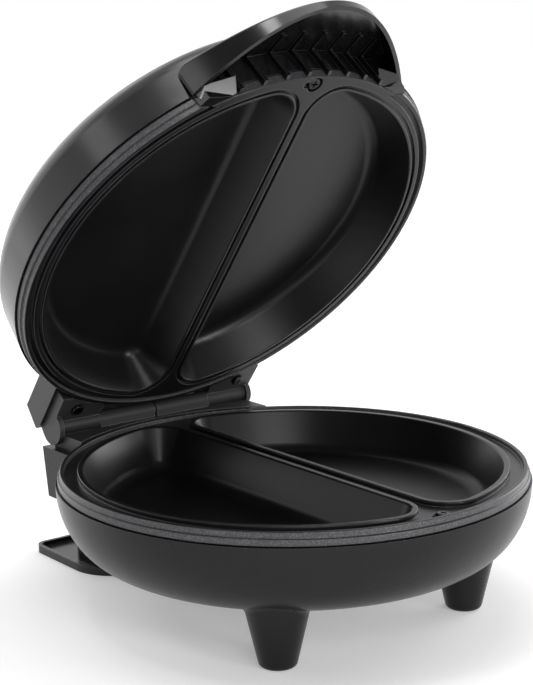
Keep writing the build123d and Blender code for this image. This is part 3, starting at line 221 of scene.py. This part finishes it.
# --- rear foot -----------------------------------------------------------------------------
# A shallow tray on a hollow post, moulded in the same plastic with a glossier finish, and
# held under the housing by two screws from below.
gloss_grey = moulding(
    "gloss_grey",
    dark=(0.012, 0.012, 0.013),
    light=(0.018, 0.018, 0.0195),
    rough=(0.20, 0.27),
    grain=1900,
    depth=1.2e-6,
    gleam=0.36,
)
dress(gloss_grey, "rear_foot")

# --- screws and pin ------------------------------------------------------------------------
# Cross-head screws and a plain hinge pin, all of drawn steel. Those inside and underneath
# are zinc-plated, and the four screws that show are blackened.
DRAWN_OUT = (1.0, 6.0, 1.0)
TARNISH_SCALE = 160.0


def drawn_metal(name, dark, light, rough, scratch, depth):
    """Bare metal, a little tarnished, with fine scratches that run one way."""
    finish, shader, links, node = blank(name)
    where = node("TexCoord").outputs["Object"]
    along = node("Mapping", {"Vector": where, "Scale": DRAWN_OUT}).outputs["Vector"]
    scratches = mottle(node, along, scratch, detail=4.0)
    tarnish = mottle(node, where, TARNISH_SCALE, detail=5.0)
    links.new(shade_between(node, tarnish, dark, light), shader.inputs["Base Color"])
    links.new(ranged(node, scratches, POLISH_ENDS, rough), shader.inputs["Roughness"])
    links.new(raised(node, scratches, depth), shader.inputs["Normal"])
    shader.inputs["Metallic"].default_value = 1.0
    return finish


zinc = drawn_metal(
    "zinc",
    dark=(0.16, 0.16, 0.165),
    light=(0.27, 0.27, 0.28),
    rough=(0.25, 0.4),
    scratch=900,
    depth=3e-6,
)
dress(
    zinc,
    "rear_foot_screws",
    "base_shield_screws",
    "base_hinge_screws",
    "hinge_pin",
    "handle_screws",
    "lid_shield_screws",
)

black_oxide = drawn_metal(
    "black_oxide",
    dark=(0.022, 0.022, 0.024),
    light=(0.05, 0.05, 0.053),
    rough=(0.28, 0.4),
    scratch=900,
    depth=3e-6,
)
dress(black_oxide, "base_plate_screw", "lid_plate_screw", "lid_hinge_screws")

# --- inside both halves --------------------------------------------------------------------
# A sheathed steel heater on each plate and a pressed aluminium shield behind it, a ceramic
# thermostat, fuse and terminal block in the base, and leads in woven glass sleeves.
heater_steel = drawn_metal(
    "heater_steel",
    dark=(0.10, 0.085, 0.075),
    light=(0.2, 0.18, 0.17),
    rough=(0.4, 0.55),
    scratch=700,
    depth=6e-6,
)
dress(heater_steel, "base_heater", "lid_heater", "fuse_clip")

mill_sheet = drawn_metal(
    "mill_sheet",
    dark=(0.5, 0.5, 0.51),
    light=(0.64, 0.64, 0.65),
    rough=(0.28, 0.42),
    scratch=420,
    depth=3e-6,
)
dress(mill_sheet, "base_heat_shield", "lid_heat_shield")

ceramic = moulding(
    "ceramic",
    dark=(0.55, 0.52, 0.46),
    light=(0.68, 0.65, 0.58),
    rough=(0.5, 0.62),
    grain=1300,
    depth=8e-6,
    gleam=0.4,
)
dress(ceramic, "terminal_block", "thermostat", "thermal_fuse")

glass_sleeve = moulding(
    "glass_sleeve",
    dark=(0.5, 0.49, 0.45),
    light=(0.7, 0.68, 0.63),
    rough=(0.7, 0.85),
    grain=2200,
    depth=6e-5,
    gleam=0.3,
)
dress(glass_sleeve, "base_wiring", "lid_wiring")

# --- base cooking plate --------------------------------------------------------------------
# Die-cast aluminium under a sprayed non-stick coat: near black and semi-gloss, with the
# coating's fine flakes on the rim painted lighter, as painted glints. One screw holds it at the
# front.
BOWL_AXIS = Vector((0.0, -0.0176, 0.0))
RIM_REACH = (0.1035, 0.1060)
RIM_TIP = (0.85, 0.4)
RIM_DARK = (0.045, 0.045, 0.048)
RIM_LIGHT = (0.105, 0.105, 0.111)
RIM_RELIEF = (0.15, 1.0)
COAT_DARK = (0.006, 0.006, 0.0067)
COAT_LIGHT = (0.0092, 0.0092, 0.01)
COAT_ROUGH = (0.3, 0.36)
COAT_CLOUD_SCALE = 22.0
COAT_GRAIN = 2300
COAT_DEPTH = 9e-6
COAT_EDGE = 0.0006
COAT_GLEAM = 0.3
DULL_FLAKES = 0.86
# How much lighter the rim's flakes are painted, as glints.
PAINTED_FLAKE_GLINT = 1.3


def on_the_rim(node, where, hinge, tilt):
    """One on the plate's steep outer rim and none elsewhere, with a lid's plate swung shut."""
    swung = Matrix.Rotation(tilt, 3, "X")
    moved = Vector(hinge) - swung @ Vector(hinge) - BOWL_AXIS
    shut = node("Mapping", {"Vector": where, "Rotation": (tilt, 0.0, 0.0), "Location": moved})
    flat = node("VectorMath", {0: shut.outputs["Vector"], 1: (1.0, 1.0, 0.0)}, operation="MULTIPLY")
    radius = node("VectorMath", {0: flat.outputs["Vector"]}, operation="LENGTH").outputs["Value"]
    upward = swung.transposed() @ Vector((0, 0, 1))
    normal = node("TexCoord").outputs["Normal"]
    up = node("VectorMath", {0: normal, 1: upward}, operation="DOT_PRODUCT").outputs["Value"]
    level = node("Math", {0: up}, operation="ABSOLUTE").outputs["Value"]
    return reckoned(node, "MULTIPLY", ranged(node, radius, RIM_REACH), ranged(node, level, RIM_TIP))


def non_stick(name, hinge=(0, 0, 0), tilt=0.0):
    """Sprayed coating on a casting: smooth wells, a pebbled rim with flakes painted as glints, and
    painted edge highlights.
    """
    finish, shader, links, node = blank(name)
    where = node("TexCoord").outputs["Object"]
    rim = on_the_rim(node, where, hinge, tilt)
    soft, edge = rounded_edge(node, COAT_EDGE)
    clouds = mottle(node, where, COAT_CLOUD_SCALE, detail=4.0)
    pebbles = mottle(node, where, COAT_GRAIN, detail=2.0)
    flakes = node("TexVoronoi", {"Vector": where, "Scale": COAT_GRAIN})
    lottery = node("SeparateColor", {"Color": flakes.outputs["Color"]}).outputs["Red"]
    spark = reckoned(node, "GREATER_THAN", lottery, DULL_FLAKES)
    flake_glints = reckoned(node, "MULTIPLY", spark, rim)
    coat = shade_between(node, clouds, COAT_DARK, COAT_LIGHT)
    rimmed = laid_over(node, rim, coat, shade_between(node, pebbles, RIM_DARK, RIM_LIGHT))
    # Real flakes with painted glints: random flakes on the rim get a colour lighter than the rim.
    with_flake_glints = laid_over(node, flake_glints, rimmed, opaque(RIM_LIGHT, PAINTED_FLAKE_GLINT))
    # Painted highlight: sharp edges get a colour several times lighter than the coat.
    edge_highlighted = laid_over(node, edge, with_flake_glints, opaque(COAT_LIGHT, PAINTED_EDGE_HIGHLIGHT))
    links.new(edge_highlighted, shader.inputs["Base Color"])
    links.new(polished(node, clouds, COAT_ROUGH, edge), shader.inputs["Roughness"])
    strength = ranged(node, rim, new=RIM_RELIEF)
    pebbled = raised(node, pebbles, COAT_DEPTH, Normal=soft, Strength=strength)
    links.new(pebbled, shader.inputs["Normal"])
    shader.inputs["Specular IOR Level"].default_value = COAT_GLEAM
    return finish


dress(non_stick("base_coat"), "base_cooking_plate")

# --- hinge ---------------------------------------------------------------------------------
# Two knuckles on a rail are screwed to the housing from inside, and two brackets with the
# outer barrels go under the lid. All are moulded in a harder, duller plastic.
dull_grey = moulding(
    "dull_grey",
    dark=(0.022, 0.022, 0.0235),
    light=(0.032, 0.032, 0.034),
    rough=(0.42, 0.52),
    grain=1700,
    depth=5e-6,
    gleam=0.4,
)
dress(dull_grey, "base_hinge_knuckles", "lid_hinge_left", "lid_hinge_right")

# --- lid shell -----------------------------------------------------------------------------
# The dome is moulded in the same black plastic as the bowl, polished to a deep gloss. The
# lid stands open, so its axis leans back by the angle that it has swung through.
LID_ANGLE = radians(52.16)
LID_AXIS = Vector((0.0, sin(LID_ANGLE), cos(LID_ANGLE)))
LID_TOP = Vector((0.0, 0.05819, 0.18758))
deep_gloss = moulding(
    "deep_gloss",
    dark=(0.006, 0.006, 0.0068),
    light=(0.0085, 0.0086, 0.0095),
    rough=(0.19, 0.24),
    grain=900,
    depth=4e-7,
    gleam=0.42,
    crown=(LID_TOP, LID_AXIS),
)
dress(deep_gloss, "lid_shell")

# --- lenses and lamps ----------------------------------------------------------------------
# A red and a green lens of clear tinted plastic, pushed up through the dome over two small
# glass neon lamps.
SWIRL_SCALE = 300.0
SWIRL_DEPTH = 8e-6
LENS_POLISH = 0.12
LENS_CLEAR = 0.55
LENS_BEND = 1.49


def tinted_lens(name, colour, deep):
    """Clear tinted plastic or glass, a little uneven inside and on its skin."""
    finish, shader, links, node = blank(name)
    where = node("TexCoord").outputs["Object"]
    swirl = mottle(node, where, SWIRL_SCALE, detail=3.0)
    links.new(shade_between(node, swirl, deep, colour), shader.inputs["Base Color"])
    links.new(raised(node, swirl, SWIRL_DEPTH), shader.inputs["Normal"])
    shader.inputs["Roughness"].default_value = LENS_POLISH
    shader.inputs["Transmission Weight"].default_value = LENS_CLEAR
    shader.inputs["IOR"].default_value = LENS_BEND
    return finish


red_lens = tinted_lens("red_lens", colour=(0.5, 0.02, 0.015), deep=(0.32, 0.01, 0.01))
green_lens = tinted_lens("green_lens", colour=(0.02, 0.4, 0.06), deep=(0.01, 0.25, 0.03))
lamp_glass = tinted_lens("lamp_glass", colour=(0.85, 0.8, 0.72), deep=(0.75, 0.7, 0.6))
dress(red_lens, "power_lens")
dress(green_lens, "ready_lens")
dress(lamp_glass, "indicator_lamps")

# --- handle --------------------------------------------------------------------------------
# A sloping hood with a row of thin fins under it that keep the fingers off the hot wall,
# moulded in satin black and screwed on from inside the dome.
grip_satin = moulding(
    "grip_satin",
    dark=(0.0045, 0.0045, 0.005),
    light=(0.0065, 0.0065, 0.0072),
    rough=(0.14, 0.19),
    grain=2200,
    depth=1.2e-6,
    gleam=0.42,
)
dress(grip_satin, "lid_handle")

# --- lid cooking plate ---------------------------------------------------------------------
# The same coated casting turned over and screwed into the lid at the front, with its wells
# a little wider and a fine groove round each. It has swung open about the hinge.
HINGE_PLACE = (0.0, 0.09955, 0.07137)
dress(non_stick("lid_coat", HINGE_PLACE, LID_ANGLE), "lid_cooking_plate")


# --- table ---------------------------------------------------------------------------------
# A plain white table top that keeps the maker's shadow. It looks whiter the farther off it
# lies, and throws no more light on the maker for that.
def seen(node):
    """One where a thing is seen, mirrored or looked through, and none where it only lights."""
    rays = node("LightPath").outputs
    mirrored = reckoned(node, "MAXIMUM", rays["Is Glossy Ray"], rays["Is Transmission Ray"])
    return reckoned(node, "MAXIMUM", rays["Is Camera Ray"], mirrored)


TABLE_SIZE = 12.0
TABLE_HEIGHT = -0.0002
TABLE_WHITE = (0.80, 0.80, 0.80)
GLOW_REACH = (0.2, 1.1)
GLOW = (0.30, 0.62)

bpy.ops.object.select_all(action="DESELECT")
bpy.ops.mesh.primitive_plane_add(size=TABLE_SIZE, location=(0, 0, TABLE_HEIGHT))
table = bpy.context.object
table.name = "table"
table_top = bpy.data.materials.new("table_top")
table_top.use_nodes = True
table_top.node_tree.nodes.clear()
node = grower(table_top.node_tree)
off_middle = node("VectorMath", {0: node("TexCoord").outputs["Object"]}, operation="LENGTH")
far_white = ranged(node, off_middle.outputs["Value"], GLOW_REACH, GLOW)
glow = node("Emission", {"Strength": reckoned(node, "MULTIPLY", seen(node), far_white)})
matt = node("BsdfDiffuse", {"Color": opaque(TABLE_WHITE)})
both = node("AddShader", {0: matt.outputs["BSDF"], 1: glow.outputs["Emission"]})
node("OutputMaterial", {"Surface": both.outputs["Shader"]})
table.data.materials.append(table_top)

# --- surround ------------------------------------------------------------------------------
# White all round, darker on the viewer's side for the light that it gives and for what
# gloss shows of it, and plain white wherever it is looked at straight.
SURROUND_LIGHT = 0.9
DARK_SIDE = 0.10
DARK_REACH = (-0.05, 0.5)
WHITE = (1, 1, 1)

surround = bpy.data.worlds.new("surround")
bpy.context.scene.world = surround
surround.use_nodes = True
background = surround.node_tree.nodes["Background"]
node = grower(surround.node_tree)
looking = node("TexCoord").outputs["Generated"]
way = node("VectorMath", {0: looking, 1: toward_viewer}, operation="DOT_PRODUCT").outputs["Value"]
side = ranged(node, way, DARK_REACH, (1.0, DARK_SIDE), interpolation_type="SMOOTHSTEP")
level = ranged(node, seen(node), new=(SURROUND_LIGHT, 1.0))
shaded = reckoned(node, "MULTIPLY", side, level)
full = reckoned(node, "MAXIMUM", shaded, node("LightPath").outputs["Is Camera Ray"])
surround.node_tree.links.new(full, background.inputs["Strength"])
background.inputs["Color"].default_value = opaque(WHITE)

# --- lamps ---------------------------------------------------------------------------------
# Soft boxes stand round the maker: two wide ones behind it at the sides, one in front, one
# nearly overhead, and three small ones that give the glossy pieces their highlights.
MAKER_MIDDLE = Vector((0.0, 0.0, 0.11))


def soft_box(name, around, above, away, width, height, power):
    """A soft light so many degrees round from the viewer and up, turned to face the maker."""
    lamp = bpy.data.lights.new(name, "AREA")
    lamp.shape = "RECTANGLE"
    lamp.size = width
    lamp.size_y = height
    lamp.energy = power
    out = heading(VIEW_AZIMUTH + radians(around), radians(above))
    box = bpy.data.objects.new(name, lamp)
    box.location = MAKER_MIDDLE + out * away
    box.rotation_euler = (-out).to_track_quat("-Z", "Y").to_euler()
    bpy.context.scene.collection.objects.link(box)


soft_box("left_box", around=-130, above=20, away=1.4, width=1.3, height=1.2, power=4.2)
soft_box("side_box", around=-80, above=42, away=1.4, width=0.5, height=0.25, power=0.8)
soft_box("right_box", around=130, above=14, away=1.4, width=0.8, height=1.0, power=8.0)
soft_box("front_box", around=12, above=26, away=1.4, width=0.6, height=0.5, power=5.0)
soft_box("low_box", around=45, above=7, away=1.3, width=0.3, height=0.35, power=6.0)
soft_box("top_box", around=-62, above=72, away=1.5, width=0.18, height=0.18, power=1.7)
soft_box("back_box", around=180, above=83, away=1.5, width=0.9, height=0.9, power=7.0)
